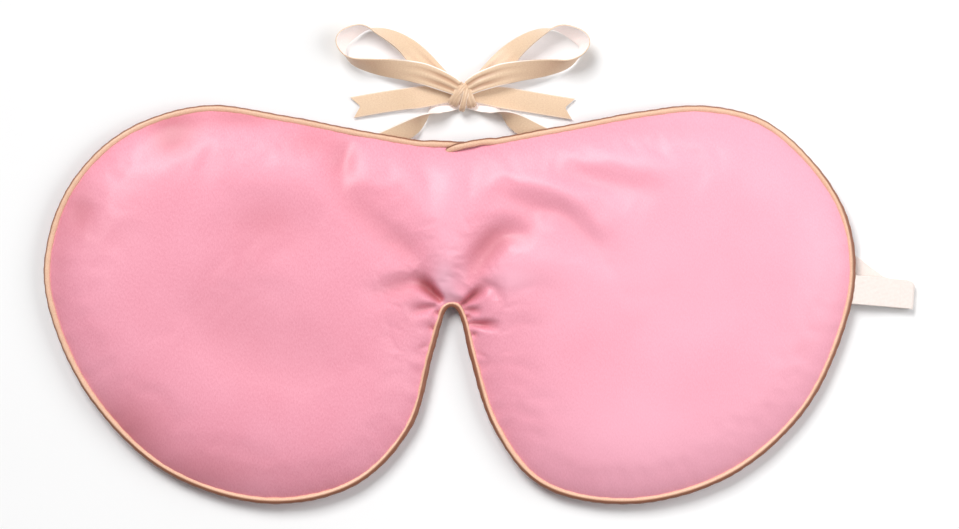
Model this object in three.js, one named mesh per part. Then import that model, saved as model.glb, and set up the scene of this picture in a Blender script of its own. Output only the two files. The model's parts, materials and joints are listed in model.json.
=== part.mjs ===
// Sleep eye mask: a padded satin mask with a piped edge, and a strap of elastic and ribbon tied in a bow.
// Millimetres, +Z up. The mask lies face up: +Y is towards the forehead, -Z is towards the wearer's face.
// Every shape is drawn from the bridge line, x = 0, on which the mask folds in half.

import * as THREE from 'three';

// ---- Driving dimensions ----

const BRIDGE_X = 0.78; // from the middle of the mask's width to the bridge line
const CENTRE_Y = 0.04; // from the middle of the mask's height to the line y = 0
const FOLD_GAP = 0.15; // each half stops this far from the bridge line

const SEAM_Z = 3.5; // height of the seam and of its piping
const CROWN = 7.4; // how far the front stands above the seam at its fullest
const CROWN_ROLL = 9; // distance in from the seam over which the front rounds up
const BRIDGE_DIP = 0.22; // share of the crown that is lost on the bridge line
const BRIDGE_DIP_WIDTH = 20;
const BELLY_ROLL = 12; // distance in from the seam over which the back flattens
const STRAP_ROOM = 2; // height of the back panel where the strap lies under it
const STRAP_ROOM_TOP = -2; // the back panel comes down to the table between these two y values
const STRAP_ROOM_BOTTOM = -14;

const PANEL_THICK = 0.4;
const LINING_THICK = 0.3;
const LAYER_GAP = 0.5;
const RIM_HALF = 1.1; // from the seam's plane to each panel's outer face at the seam
const PANEL_INSET = 1.3; // from the seam's line to the edge of each panel
const FILL_INSET = 5.6; // from the seam's line to the edge of the wadding and lining

const CORD_RADIUS = 0.5;
const COVER_INNER = 0.7; // radius inside the piping's cover
const COVER_OUTER = 0.95;
const FLANGE_END = 5; // the cover's two seam allowances reach this far in
const FLANGE_INNER = 0.15; // half the gap between them
const FLANGE_OUTER = 0.4;

const ELASTIC_WIDTH = 7.8;
const ELASTIC_THICK = 0.8;
const RIBBON_WIDTH = 5.8;
const RIBBON_THICK = 0.4;
const KNOT_CENTRE = new THREE.Vector3(2.9, 56.8, 2.5);
const KNOT_RADII = new THREE.Vector3(2.8, 3.6, 2.2);

// The seam's line, from the middle of the top edge round each lobe to the nose notch.
const RIGHT_LOBE = [
  [28, 47.2], [52, 51.6], [68, 53], [84, 49.2], [97.4, 37.8], [106, 24], [108.4, 9], [105.2, -7],
  [94.6, -28.6], [74.5, -46], [48, -53.2], [24.3, -48.3], [11.9, -33], [5.6, -14], [3.1, -4.2],
];
const LEFT_LOBE = [
  [-3.1, -4.2], [-6.4, -14], [-12, -33], [-26.6, -48.1], [-50, -53.1], [-77.5, -44.6], [-97.5, -25],
  [-107.8, -3.5], [-109.8, 11], [-104.2, 30], [-90, 45.4], [-68, 53], [-46, 50.4], [-22, 45.8],
];
const TOP_MIDDLE = [0, 43];
const NOTCH_TIP = [0, 0.6];
const RIM_STEPS = 36; // points along the seam of each half
const CUT_STEPS = 5; // points along the bridge line of each half
const LOBE_POLE_X = 50; // the rings of a panel close in on this point
const LOBE_POLE_Y = -4;
const RING_SHARES = [0, 0.05, 0.13, 0.26, 0.46, 0.72];

// ---- Materials ----

function cloth(colour, roughness) {
  return new THREE.MeshStandardMaterial({ color: colour, roughness, metalness: 0 });
}

const colours = {
  satin: 0xf2a9bb,
  lining: 0x2b2629,
  wadding: 0xf4f1ea,
  piping: 0xecbf98,
  cord: 0xefe7da,
  elastic: 0xfdf3ea,
  ribbon: 0xe6c8a2,
};

// ---- Helpers ----

const UP = new THREE.Vector3(0, 0, 1);

function meshVolume(points, faces) {
  let six = 0;
  for (const [a, b, c] of faces) {
    six += points[a].dot(points[b].clone().cross(points[c]));
  }
  return six / 6;
}

// A closed solid from its points and triangles, turned the right way out.
function solid(name, points, faces, material) {
  const outward = meshVolume(points, faces) > 0;
  const order = outward ? faces : faces.map(([a, b, c]) => [a, c, b]);
  const geometry = new THREE.BufferGeometry().setFromPoints(points);
  geometry.setIndex(order.flat());
  geometry.computeVertexNormals();
  const mesh = new THREE.Mesh(geometry, material);
  mesh.name = name;
  return mesh;
}

// A closed solid through a row of rings that have the same number of points. Both faces of a band are
// split along the same diagonal, so that they stay apart where it twists.
function loft(name, rings, section, material) {
  const count = section.length;
  const points = rings.flat();
  const faces = [];
  for (let ring = 0; ring < rings.length - 1; ring += 1) {
    for (let side = 0; side < count; side += 1) {
      const a = ring * count + side;
      const b = ring * count + ((side + 1) % count);
      if (side < count / 2) faces.push([a, b, b + count], [a, b + count, a + count]);
      else faces.push([a, b, a + count], [b, b + count, a + count]);
    }
  }
  const cap = THREE.ShapeUtils.triangulateShape(section, []);
  const last = (rings.length - 1) * count;
  const clockwise = THREE.ShapeUtils.isClockWise(section);
  for (const [a, b, c] of cap) {
    faces.push(clockwise ? [a, b, c] : [a, c, b]);
    faces.push(clockwise ? [last + a, last + c, last + b] : [last + a, last + b, last + c]);
  }
  return solid(name, points, faces, material);
}

function smoothStep(x) {
  const t = THREE.MathUtils.clamp(x, 0, 1);
  return t * t * (3 - 2 * t);
}

// ---- The seam's line ----

const seamPoints = [TOP_MIDDLE, ...RIGHT_LOBE, NOTCH_TIP, ...LEFT_LOBE];
const seam = new THREE.CatmullRomCurve3(
  seamPoints.map(([x, y]) => new THREE.Vector3(x, y, 0)),
  true,
  'centripetal',
);
const NOTCH_SHARE = (RIGHT_LOBE.length + 1) / seamPoints.length; // where on the curve the notch's tip is

// The seam of one half, as its points and the directions into the pad.
function halfSeam(side) {
  const [from, to] = side === 'right' ? [0, NOTCH_SHARE] : [NOTCH_SHARE, 1];
  const rows = [];
  for (let step = 0; step <= RIM_STEPS; step += 1) {
    const share = THREE.MathUtils.lerp(from, to, step / RIM_STEPS);
    const place = seam.getPoint(share % 1);
    const along = seam.getTangent(share % 1);
    const inward = new THREE.Vector3(along.y, -along.x, 0);
    if (step === 0 || step === RIM_STEPS) {
      const down = (side === 'right') === (step === 0);
      inward.set(0, down ? -1 : 1, 0);
      place.x = side === 'right' ? FOLD_GAP : -FOLD_GAP;
    }
    rows.push({ place, inward });
  }
  return rows;
}

// Distance to the seam, exact beside a straight seam and smooth in the middle of a lobe.
const SEAM_SAMPLES = 720;
const seamSamples = seam.getSpacedPoints(SEAM_SAMPLES);
const sampleLength = seam.getLength() / SEAM_SAMPLES;

function seamDistance(x, y) {
  let sum = 0;
  for (const point of seamSamples.slice(1)) {
    const squared = (point.x - x) ** 2 + (point.y - y) ** 2 + 1e-6;
    sum += sampleLength / squared ** 2.5;
  }
  return (4 / 3 / sum) ** 0.25;
}

function frontHeight(x, y) {
  const dip = 1 - BRIDGE_DIP * Math.exp(-((x / BRIDGE_DIP_WIDTH) ** 2));
  const rise = 1 - Math.exp(-seamDistance(x, y) / CROWN_ROLL);
  return SEAM_Z + RIM_HALF + CROWN * dip * rise;
}

function backHeight(x, y) {
  const share = (y - STRAP_ROOM_BOTTOM) / (STRAP_ROOM_TOP - STRAP_ROOM_BOTTOM);
  const belly = STRAP_ROOM * smoothStep(share);
  const rim = 1 - Math.min(seamDistance(x, y) / BELLY_ROLL, 1);
  return belly + (SEAM_Z - RIM_HALF - belly) * rim ** 3;
}

// ---- The padded mask ----

// The closed outline of one half of a layer, its edge inset from the seam.
function layerOutline(side, inset) {
  const rim = halfSeam(side).map(({ place, inward }) => place.clone().addScaledVector(inward, inset));
  const first = rim[0];
  const last = rim[rim.length - 1];
  const cut = [];
  for (let step = 1; step <= CUT_STEPS; step += 1) {
    cut.push(last.clone().lerp(first, step / (CUT_STEPS + 1)));
  }
  return [...rim, ...cut];
}

// One layer of one half, between two heights that are functions of x and y.
function layer(name, side, inset, top, bottom, material) {
  const outline = layerOutline(side, inset);
  const pole = new THREE.Vector3(side === 'right' ? LOBE_POLE_X : -LOBE_POLE_X, LOBE_POLE_Y, 0);
  const count = outline.length;
  const flat = RING_SHARES.flatMap((share) => outline.map((point) => point.clone().lerp(pole, share)));
  flat.push(pole);
  const points = [top, bottom].flatMap((height) =>
    flat.map(({ x, y }) => new THREE.Vector3(x, y, height(x, y))),
  );
  const below = flat.length;
  const centre = flat.length - 1;
  const faces = [];
  for (let a = 0; a < count; a += 1) {
    const b = (a + 1) % count;
    for (let ring = 0; ring < RING_SHARES.length - 1; ring += 1) {
      const [p, q, r, s] = [a, b, b + count, a + count].map((index) => index + ring * count);
      faces.push([p, q, r], [p, r, s]);
      faces.push([below + p, below + r, below + q], [below + p, below + s, below + r]);
    }
    const start = (RING_SHARES.length - 1) * count;
    faces.push([start + a, start + b, centre]);
    faces.push([below + start + a, below + centre, below + start + b]);
    faces.push([a, below + a, below + b], [a, below + b, b]);
  }
  return solid(name, points, faces, material);
}

function lowered(height, by) {
  return (x, y) => height(x, y) - by;
}

function frontPanel(side) {
  const inner = lowered(frontHeight, PANEL_THICK);
  return layer(`front_panel_${side}`, side, PANEL_INSET, frontHeight, inner, cloth(colours.satin, 0.42));
}

function blackoutLining(side) {
  const top = lowered(frontHeight, PANEL_THICK + LAYER_GAP);
  const bottom = lowered(top, LINING_THICK);
  return layer(`blackout_lining_${side}`, side, FILL_INSET, top, bottom, cloth(colours.lining, 0.9));
}

function wadding(side) {
  const top = lowered(frontHeight, PANEL_THICK + LINING_THICK + 2 * LAYER_GAP);
  const bottom = lowered(backHeight, -(PANEL_THICK + LAYER_GAP));
  return layer(`wadding_${side}`, side, FILL_INSET, top, bottom, cloth(colours.wadding, 0.95));
}

function backPanel(side) {
  const inner = lowered(backHeight, -PANEL_THICK);
  return layer(`back_panel_${side}`, side, PANEL_INSET, inner, backHeight, cloth(colours.satin, 0.42));
}

// A section swept along the seam: its x is the distance into the pad, its y the height above the seam.
function sweepAlongSeam(name, side, section, material) {
  const rings = halfSeam(side).map(({ place, inward }) =>
    section.map(({ x, y }) => place.clone().addScaledVector(inward, x).setZ(SEAM_Z + y)),
  );
  return loft(name, rings, section, material);
}

function arcPoints(radius, from, to, steps) {
  const points = [];
  for (let step = 0; step <= steps; step += 1) {
    const angle = THREE.MathUtils.lerp(from, to, step / steps);
    points.push(new THREE.Vector2(radius * Math.cos(angle), radius * Math.sin(angle)));
  }
  return points;
}

// The piping's cover: a strip of satin folded round the cord, its two edges sewn into the seam.
function pipingCover(side) {
  const outer = Math.asin(FLANGE_OUTER / COVER_OUTER);
  const inner = Math.asin(FLANGE_INNER / COVER_INNER);
  const section = [
    new THREE.Vector2(FLANGE_END, FLANGE_OUTER),
    ...arcPoints(COVER_OUTER, outer, 2 * Math.PI - outer, 6),
    new THREE.Vector2(FLANGE_END, -FLANGE_OUTER),
    new THREE.Vector2(FLANGE_END, -FLANGE_INNER),
    ...arcPoints(COVER_INNER, 2 * Math.PI - inner, inner, 5),
    new THREE.Vector2(FLANGE_END, FLANGE_INNER),
  ];
  return sweepAlongSeam(`piping_cover_${side}`, side, section, cloth(colours.piping, 0.5));
}

function pipingCord(side) {
  const section = arcPoints(CORD_RADIUS, 0, 2 * Math.PI, 6).slice(1);
  return sweepAlongSeam(`piping_cord_${side}`, side, section, cloth(colours.cord, 0.9));
}

function maskHalf(side) {
  const half = new THREE.Group();
  half.add(frontPanel(side), blackoutLining(side), wadding(side), backPanel(side));
  half.add(pipingCover(side), pipingCord(side));
  return half;
}

// ---- Strap, ribbon and bow ----

// A flat band through a row of stations, each with its middle, the direction across it and its width.
function band(name, stations, thickness, material) {
  const corners = [[-1, -1], [1, -1], [1, 1], [-1, 1]];
  const rings = stations.map(({ middle, across, width }, index) => {
    const before = stations[Math.max(index - 1, 0)].middle;
    const after = stations[Math.min(index + 1, stations.length - 1)].middle;
    const normal = after.clone().sub(before).cross(across).normalize();
    return corners.map(([side, face]) =>
      middle
        .clone()
        .addScaledVector(across, (side * width) / 2)
        .addScaledVector(normal, (face * thickness) / 2),
    );
  });
  const section = corners.map(([x, y]) => new THREE.Vector2(x, y));
  return loft(name, rings, section, material);
}

function polar(degrees) {
  const angle = THREE.MathUtils.degToRad(degrees);
  return new THREE.Vector3(Math.cos(angle), Math.sin(angle), 0);
}

// A station that is cut square to the X axis, which the strap swings about.
function squareStation(x, y, z, width, bearing) {
  const across = new THREE.Vector3(0, 1, 0);
  return { middle: new THREE.Vector3(x, y, z), across, width: width / Math.abs(polar(bearing).x) };
}

const LYING_Z = ELASTIC_THICK / 2;
const TAB_BEARING = -5; // the right elastic leaves the seam in this direction
const TAB_FOLD = new THREE.Vector3(124.2, 2.7, 0); // where it folds back under the mask
const TAB_FOLD_BEARING = 76;
const TAB_FOLD_RADIUS = 0.75;
const RIGHT_BEARING = 157; // the right elastic's direction under the mask
const RIGHT_RUN = 60; // its length there
const TAB_SQUARE = 8; // it lies square to that direction this far from the fold
const LEFT_BEARING = 24.5;
const LEFT_START = new THREE.Vector3(-108.5, 4.6, LYING_Z);
const LEFT_ROOT_END = -99.3;
const LEFT_END = -52;
const ROOT_GAP = 0.3;
const RIGHT_ROOT = { from: 109.9, to: 112.5, fromZ: SEAM_Z, toZ: 2.9 };

function leftMiddle(x, z) {
  const rise = Math.tan(THREE.MathUtils.degToRad(LEFT_BEARING));
  return new THREE.Vector3(x, LEFT_START.y + (x - LEFT_START.x) * rise, z);
}

function leftStation(x) {
  const { y, z } = leftMiddle(x, LYING_Z);
  return squareStation(x, y, z, ELASTIC_WIDTH, LEFT_BEARING);
}

function tabMiddle(x, z) {
  const fall = Math.tan(THREE.MathUtils.degToRad(TAB_BEARING));
  return new THREE.Vector3(x, TAB_FOLD.y + (x - TAB_FOLD.x) * fall, z);
}

function elasticRoots() {
  const left = [leftStation(LEFT_START.x), leftStation(LEFT_ROOT_END)];
  const right = [
    [RIGHT_ROOT.from, RIGHT_ROOT.fromZ],
    [RIGHT_ROOT.to, RIGHT_ROOT.toZ],
  ].map(([x, z]) => squareStation(x, tabMiddle(x, z).y, z, ELASTIC_WIDTH, TAB_BEARING));
  return [
    band('elastic_left_root', left, ELASTIC_THICK, cloth(colours.elastic, 0.8)),
    band('elastic_right_root', right, ELASTIC_THICK, cloth(colours.elastic, 0.8)),
  ];
}

function elasticLeft() {
  const stations = [leftStation(LEFT_ROOT_END + ROOT_GAP), leftStation(LEFT_END)];
  return band('elastic_left', stations, ELASTIC_THICK, cloth(colours.elastic, 0.8));
}

// The right elastic runs out from the seam, folds over on a slanting line and runs back under the mask.
function elasticRight() {
  const startX = RIGHT_ROOT.to + ROOT_GAP;
  const foldAcross = polar(TAB_FOLD_BEARING);
  const foldWidth = ELASTIC_WIDTH / Math.sin(THREE.MathUtils.degToRad(TAB_FOLD_BEARING - TAB_BEARING));
  const outward = polar(TAB_FOLD_BEARING - 90);
  const axisZ = LYING_Z + TAB_FOLD_RADIUS;
  const start = squareStation(startX, tabMiddle(startX, 0).y, RIGHT_ROOT.toZ, ELASTIC_WIDTH, TAB_BEARING);
  const turn = [90, 60, 30, 0, -30, -60, -90].map((degrees) => {
    const angle = THREE.MathUtils.degToRad(degrees);
    const middle = TAB_FOLD.clone()
      .addScaledVector(outward, TAB_FOLD_RADIUS * Math.cos(angle))
      .setZ(axisZ + TAB_FOLD_RADIUS * Math.sin(angle));
    return { middle, across: foldAcross, width: foldWidth };
  });
  const back = [TAB_SQUARE, RIGHT_RUN].map((run) => ({
    middle: TAB_FOLD.clone().addScaledVector(polar(RIGHT_BEARING), run).setZ(LYING_Z),
    across: polar(RIGHT_BEARING - 90),
    width: ELASTIC_WIDTH,
  }));
  return band('elastic_right', [start, ...turn, ...back], ELASTIC_THICK, cloth(colours.elastic, 0.8));
}

const STEPS_PER_STRETCH = 3;

// A ribbon whose face turns about its length: roll is the tilt of its face in degrees at each point.
function ribbon(name, route) {
  const line = new THREE.CatmullRomCurve3(
    route.map(({ at }) => new THREE.Vector3(...at)),
    false,
    'centripetal',
  );
  const stations = [];
  const steps = STEPS_PER_STRETCH * (route.length - 1);
  for (let step = 0; step <= steps; step += 1) {
    const share = step / steps;
    const place = step / STEPS_PER_STRETCH;
    const index = Math.min(Math.floor(place), route.length - 2);
    const mix = (key, otherwise) => {
      const [a, b] = [route[index], route[index + 1]].map((row) => row[key] ?? otherwise);
      return THREE.MathUtils.lerp(a, b, place - index);
    };
    const along = line.getTangent(share);
    const level = new THREE.Vector3().crossVectors(UP, along).normalize();
    const across = level.applyAxisAngle(along, THREE.MathUtils.degToRad(mix('roll', 0)));
    stations.push({ middle: line.getPoint(share), across, width: mix('width', RIBBON_WIDTH) });
  }
  return band(name, stations, RIBBON_THICK, cloth(colours.ribbon, 0.45));
}

const RIBBON_Z = RIBBON_THICK / 2 + 0.18; // the ribbon ripples a little above the table
const LAP_Z = ELASTIC_THICK + LAYER_GAP + RIBBON_THICK / 2; // and lies this high on the elastic's end
const LAP_LENGTH = 10; // the stretch of elastic that the ribbon is sewn on
const LAP_OVERRUN = 1; // the ribbon turns down this far past the elastic's end

function ribbonLegRight() {
  const joinStart = TAB_FOLD.clone().addScaledVector(polar(RIGHT_BEARING), RIGHT_RUN - LAP_LENGTH);
  const joinEnd = TAB_FOLD.clone().addScaledVector(polar(RIGHT_BEARING), RIGHT_RUN + LAP_OVERRUN);
  return ribbon('ribbon_leg_right', [
    { at: [joinStart.x, joinStart.y, LAP_Z] },
    { at: [joinEnd.x, joinEnd.y, LAP_Z] },
    { at: [60, 29.6, RIBBON_Z] },
    { at: [44, 36.4, RIBBON_Z] },
    { at: [28, 43.6, RIBBON_Z] },
    { at: [19, 48.7, RIBBON_Z] },
    { at: [11.5, 53, RIBBON_Z] },
    { at: [6.6, 55.3, RIBBON_Z + 0.4], width: 4 },
  ]);
}

function ribbonLegLeft() {
  const joinStart = leftMiddle(LEFT_END - LAP_LENGTH, LAP_Z);
  const joinEnd = leftMiddle(LEFT_END + LAP_OVERRUN, LAP_Z);
  return ribbon('ribbon_leg_left', [
    { at: joinStart.toArray() },
    { at: joinEnd.toArray() },
    { at: [-42, 34.9, RIBBON_Z] },
    { at: [-28, 41.3, RIBBON_Z] },
    { at: [-15.5, 47, RIBBON_Z] },
    { at: [-8, 51.2, RIBBON_Z] },
    { at: [-1.2, 54.9, RIBBON_Z + 0.4], width: 4 },
  ]);
}

function bowLoopLeft() {
  return ribbon('bow_loop_left', [
    { at: [-1.6, 60.2, 2], roll: 12, width: 3.8 },
    { at: [-8, 66, 2.1], roll: 16 },
    { at: [-14, 71.2, 2.8], roll: 38 },
    { at: [-20, 74.1, 3.4], roll: 70 },
    { at: [-25.4, 74.7, 3.5], roll: 112 },
    { at: [-29.4, 72.6, 3.5], roll: 126 },
    { at: [-29.8, 69.4, 3.5], roll: 104 },
    { at: [-26.6, 66.6, 3.5], roll: 74 },
    { at: [-20.5, 64.9, 3.6], roll: 48 },
    { at: [-12, 62.8, 4.1], roll: 22 },
    { at: [-6.4, 61.2, 4.5], roll: 10 },
    { at: [-1.9, 59.4, 4.5], roll: 4, width: 3.8 },
  ]);
}

function bowLoopRight() {
  return ribbon('bow_loop_right', [
    { at: [7.2, 60.4, 2], roll: -12, width: 3.8 },
    { at: [12.6, 65.2, 2.1], roll: -16 },
    { at: [18.4, 70.2, 2.8], roll: -40 },
    { at: [24, 73.4, 3.4], roll: -74 },
    { at: [29.6, 74.2, 3.5], roll: -116 },
    { at: [34.6, 72.2, 3.5], roll: -126 },
    { at: [35.4, 69.2, 3.5], roll: -104 },
    { at: [32, 65.8, 3.5], roll: -74 },
    { at: [26, 64, 3.6], roll: -46 },
    { at: [17.6, 62.6, 4.1], roll: -22 },
    { at: [12, 61.3, 4.5], roll: -10 },
    { at: [7.5, 59.6, 4.5], roll: -4, width: 3.8 },
  ]);
}

// A ribbon end with a V cut out of it, sloping down from the knot to its tips.
function bowTail(name, root, length, bearing, slope) {
  const half = RIBBON_WIDTH / 2;
  const notch = 2.6; // depth of the V
  const narrow = RIBBON_WIDTH / 3; // half width at the knot
  const gathered = 6; // it has its full width this far from the knot
  const shape = new THREE.Shape([
    new THREE.Vector2(0, -narrow),
    new THREE.Vector2(gathered, -half),
    new THREE.Vector2(length, -half),
    new THREE.Vector2(length - notch, 0),
    new THREE.Vector2(length, half),
    new THREE.Vector2(gathered, half),
    new THREE.Vector2(0, narrow),
  ]);
  const geometry = new THREE.ExtrudeGeometry(shape, { depth: RIBBON_THICK, bevelEnabled: false });
  const tail = new THREE.Mesh(geometry, cloth(colours.ribbon, 0.45));
  tail.name = name;
  tail.rotation.set(0, THREE.MathUtils.degToRad(slope), THREE.MathUtils.degToRad(bearing), 'ZYX');
  tail.position.set(...root);
  return tail;
}

function bowKnot() {
  const geometry = new THREE.SphereGeometry(1, 14, 9);
  const knot = new THREE.Mesh(geometry, cloth(colours.ribbon, 0.45));
  knot.name = 'bow_knot';
  knot.scale.copy(KNOT_RADII);
  knot.position.copy(KNOT_CENTRE);
  return knot;
}

// ---- Assembly ----

const strap = new THREE.Group();
strap.add(...elasticRoots(), elasticLeft(), elasticRight(), ribbonLegLeft(), ribbonLegRight());
strap.add(bowKnot(), bowLoopLeft(), bowLoopRight());
strap.add(bowTail('bow_tail_left', [-0.7, 57.2, 1.5], 27.4, 188, 2.9));
strap.add(bowTail('bow_tail_right', [6.4, 57, 1.5], 27, -8.2, 2.9));

const mask = new THREE.Group();
mask.add(maskHalf('right'), maskHalf('left'), strap);
mask.position.set(BRIDGE_X, CENTRE_Y, 0);

export default mask;
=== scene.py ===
import json
import math

import bmesh
import bpy
import numpy as np
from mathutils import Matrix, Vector
from mathutils.geometry import delaunay_2d_cdt


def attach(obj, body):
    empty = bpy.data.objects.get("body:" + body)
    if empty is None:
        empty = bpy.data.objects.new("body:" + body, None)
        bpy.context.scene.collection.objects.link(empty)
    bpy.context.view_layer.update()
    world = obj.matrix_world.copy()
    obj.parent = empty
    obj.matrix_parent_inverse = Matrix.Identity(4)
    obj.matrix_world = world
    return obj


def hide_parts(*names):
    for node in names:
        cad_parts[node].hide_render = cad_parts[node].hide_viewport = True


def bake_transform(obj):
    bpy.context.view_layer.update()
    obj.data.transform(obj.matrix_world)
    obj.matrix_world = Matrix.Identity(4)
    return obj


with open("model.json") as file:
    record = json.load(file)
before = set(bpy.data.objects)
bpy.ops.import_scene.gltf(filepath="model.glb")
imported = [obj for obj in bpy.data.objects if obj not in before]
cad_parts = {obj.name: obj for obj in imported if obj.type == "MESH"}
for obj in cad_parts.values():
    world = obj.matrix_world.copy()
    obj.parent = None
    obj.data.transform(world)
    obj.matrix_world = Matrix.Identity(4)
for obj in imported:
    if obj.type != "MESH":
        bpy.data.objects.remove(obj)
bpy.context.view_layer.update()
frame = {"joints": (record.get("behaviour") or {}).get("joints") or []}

MM = 0.001

# ---- Places that come from the frame ----


def joint_place(name):
    """A joint's pivot in millimetres."""
    found = next(j for j in frame["joints"] if j["name"] == name)
    return np.array(found["pos_m"], float) / MM


BRIDGE_X = joint_place("bridge_fold")[0]
CENTRE_Y = 0.04  # the outline's zero line in the frame, as in the part's source
ORIGIN = np.array([BRIDGE_X, CENTRE_Y, 0.0])
KNOT = joint_place("loop_left_lift") - ORIGIN  # measured from the bridge line

# ---- Driving dimensions, in millimetres from the bridge line ----

SEAM_Z = 3.5
PIPING_RADIUS = 0.98
PANEL_EDGE = 0.5  # the panels end this far in from the seam's line, inside the piping
FRONT_LIFT = 0.35  # the front's edge lies this far above the seam's plane
BACK_DROP = 0.4  # the back's edge lies this far below it
CROWN = 7.3  # from the front's edge up to the middle of a lobe
CROWN_ROLL = 8.5  # the larger this is, the more slowly the front rises from its edge
NOTCH_ROLL = 0.9  # right above the notch it rises more slowly by this share
BRIDGE_DIP = 0.22  # the share of its rise that the front lacks at the bridge
BRIDGE_DIP_WIDTH = 20
NOTCH_PUFF = 0.9  # the gathers round the notch stand this much higher
BELLY_ROLL = 12  # the back rises to the seam over this distance
STRAP_ROOM = 2.0  # the back lies this high where the strap passes below it
STRAP_ROOM_TOP = -2  # it is that high from here up the mask
STRAP_ROOM_BOTTOM = -14  # and lies on the table below here

TOP_MIDDLE = [(0, 43)]
RIGHT_LOBE = [
    (28, 47.2), (52, 51.6), (68, 53), (84, 49.2), (97.4, 37.8), (106, 24), (108.4, 9),
    (105.2, -7), (94.6, -28.6), (74.5, -46), (48, -53.2), (24.3, -48.3), (11.9, -33),
    (5.6, -14), (3.2, -4.2), (1.5, -0.6),
]
NOTCH_TIP = [(-0.3, 0.15)]
NOTCH_MIDDLE = (0, 2)
NOTCH_REACH = 22  # the cloth is meshed finely this far round the notch's middle
LEFT_LOBE = [
    (-2.1, -0.6), (-3.6, -4.2), (-6.4, -14), (-12, -33), (-26.6, -48.1), (-50, -53.1),
    (-77.5, -44.6), (-97.5, -25), (-107.8, -3.5), (-109.8, 11), (-104.2, 30), (-90, 45.4),
    (-68, 53), (-46, 50.4), (-22, 45.8),
]
SEAM_STEP = 0.5  # the spacing of the points along the seam

# ---- Curves ----


def catmull_rom(points, steps, closed=False):
    """A centripetal Catmull-Rom curve through the points, with steps to each stretch."""
    points = np.array(points, float)
    count = len(points)
    if closed:
        padded = np.vstack([points[-1:], points, points[:2]])
    else:
        first = 2 * points[0] - points[1]
        last = 2 * points[-1] - points[-2]
        padded = np.vstack([first, points, last])
        count -= 1
    share = np.arange(steps)[:, None] / steps
    rows = []
    for i in range(count):
        p = padded[i:i + 4]
        t = np.concatenate([[0], np.cumsum(np.linalg.norm(np.diff(p, axis=0), axis=1) ** 0.5)])
        at = t[1] + (t[2] - t[1]) * share

        def mix(a, b, low, high):
            return (t[high] - at) / (t[high] - t[low]) * a + (at - t[low]) / (t[high] - t[low]) * b

        a1, a2, a3 = mix(p[0], p[1], 0, 1), mix(p[1], p[2], 1, 2), mix(p[2], p[3], 2, 3)
        rows.append(mix(mix(a1, a2, 0, 2), mix(a2, a3, 1, 3), 1, 2))
    if not closed:
        rows.append(points[-1:])
    return np.vstack(rows)


def length_along(line):
    """How far along the line each of its points lies."""
    return np.concatenate([[0], np.cumsum(np.linalg.norm(np.diff(line, axis=0), axis=1))])


def respaced(line, step, closed=False):
    """The line again, with points about step apart."""
    if closed:
        line = np.vstack([line, line[:1]])
    along = length_along(line)
    count = max(2, int(round(along[-1] / step)))
    at = np.linspace(0, along[-1], count + 1)
    out = np.stack([np.interp(at, along, line[:, k]) for k in range(line.shape[1])], axis=1)
    return out[:-1] if closed else out


def directions(line, closed=False):
    """Unit directions along a line."""
    if closed:
        steps = np.roll(line, -1, axis=0) - np.roll(line, 1, axis=0)
    else:
        steps = np.gradient(line, axis=0)
    return steps / np.linalg.norm(steps, axis=1)[:, None]


OUTLINE = catmull_rom(TOP_MIDDLE + RIGHT_LOBE + NOTCH_TIP + LEFT_LOBE, 40, closed=True)
SEAM = respaced(OUTLINE, SEAM_STEP, closed=True)


def smooth_step(x):
    """0 below 0 and 1 above 1, with a smooth way between them."""
    t = np.clip(x, 0, 1)
    return t * t * (3 - 2 * t)


def spot(points, middle, radii):
    """1 at the middle of a soft oval spot, falling to 0 round it."""
    return np.exp(-(((points - middle) / radii) ** 2).sum(axis=1))


def seam_distance(points):
    """Distance to the seam, exact beside a straight seam and smooth in the middle of a lobe.

    It adds up 1 / distance ** 5 along the seam, which is 4 / 3 / distance ** 4 for a straight one.
    """
    out = np.zeros(len(points))
    count = 2000  # this many points at a time, to save memory
    for start in range(0, len(points), count):
        away = points[start:start + count, None, :2] - SEAM[None]
        squared = (away ** 2).sum(axis=2) + 1e-3
        out[start:start + count] = (4 / 3 / (SEAM_STEP / squared ** 2.5).sum(axis=1)) ** 0.25
    return out


# ---- Meshes ----


def make_mesh(name, points_mm, faces, uvs, shares=None):
    """A mesh object from points measured in millimetres from the bridge line.

    uvs are the cloth's own coordinates in millimetres, and shares are named values kept at the points.
    """
    mesh = bpy.data.meshes.new(name)
    mesh.from_pydata(((np.array(points_mm) + ORIGIN) * MM).tolist(), [], faces)
    layer = mesh.uv_layers.new(name="cloth")
    index = np.zeros(len(mesh.loops), int)
    mesh.loops.foreach_get("vertex_index", index)
    layer.data.foreach_set("uv", np.array(uvs, float)[index].ravel())
    for key, values in (shares or {}).items():
        attribute = mesh.attributes.new(key, "FLOAT", "POINT")
        attribute.data.foreach_set("value", np.array(values, float))
    mesh.polygons.foreach_set("use_smooth", [True] * len(mesh.polygons))
    mesh.update()
    obj = bpy.data.objects.new(name, mesh)
    bpy.context.scene.collection.objects.link(obj)
    return obj


def face_outward(obj):
    """Turns a closed mesh's faces outward."""
    work = bmesh.new()
    work.from_mesh(obj.data)
    bmesh.ops.recalc_face_normals(work, faces=work.faces)
    work.to_mesh(obj.data)
    work.free()
    return obj


def is_inside(points, outline):
    """Which points lie inside a closed outline."""
    following = np.roll(outline, -1, axis=0)
    out = np.zeros(len(points), bool)
    for i, (x, y) in enumerate(points):
        cross = (outline[:, 1] > y) != (following[:, 1] > y)
        low, high = outline[cross], following[cross]
        at = low[:, 0] + (y - low[:, 1]) / (high[:, 1] - low[:, 1]) * (high[:, 0] - low[:, 0])
        out[i] = (at > x).sum() % 2 == 1
    return out


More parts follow.
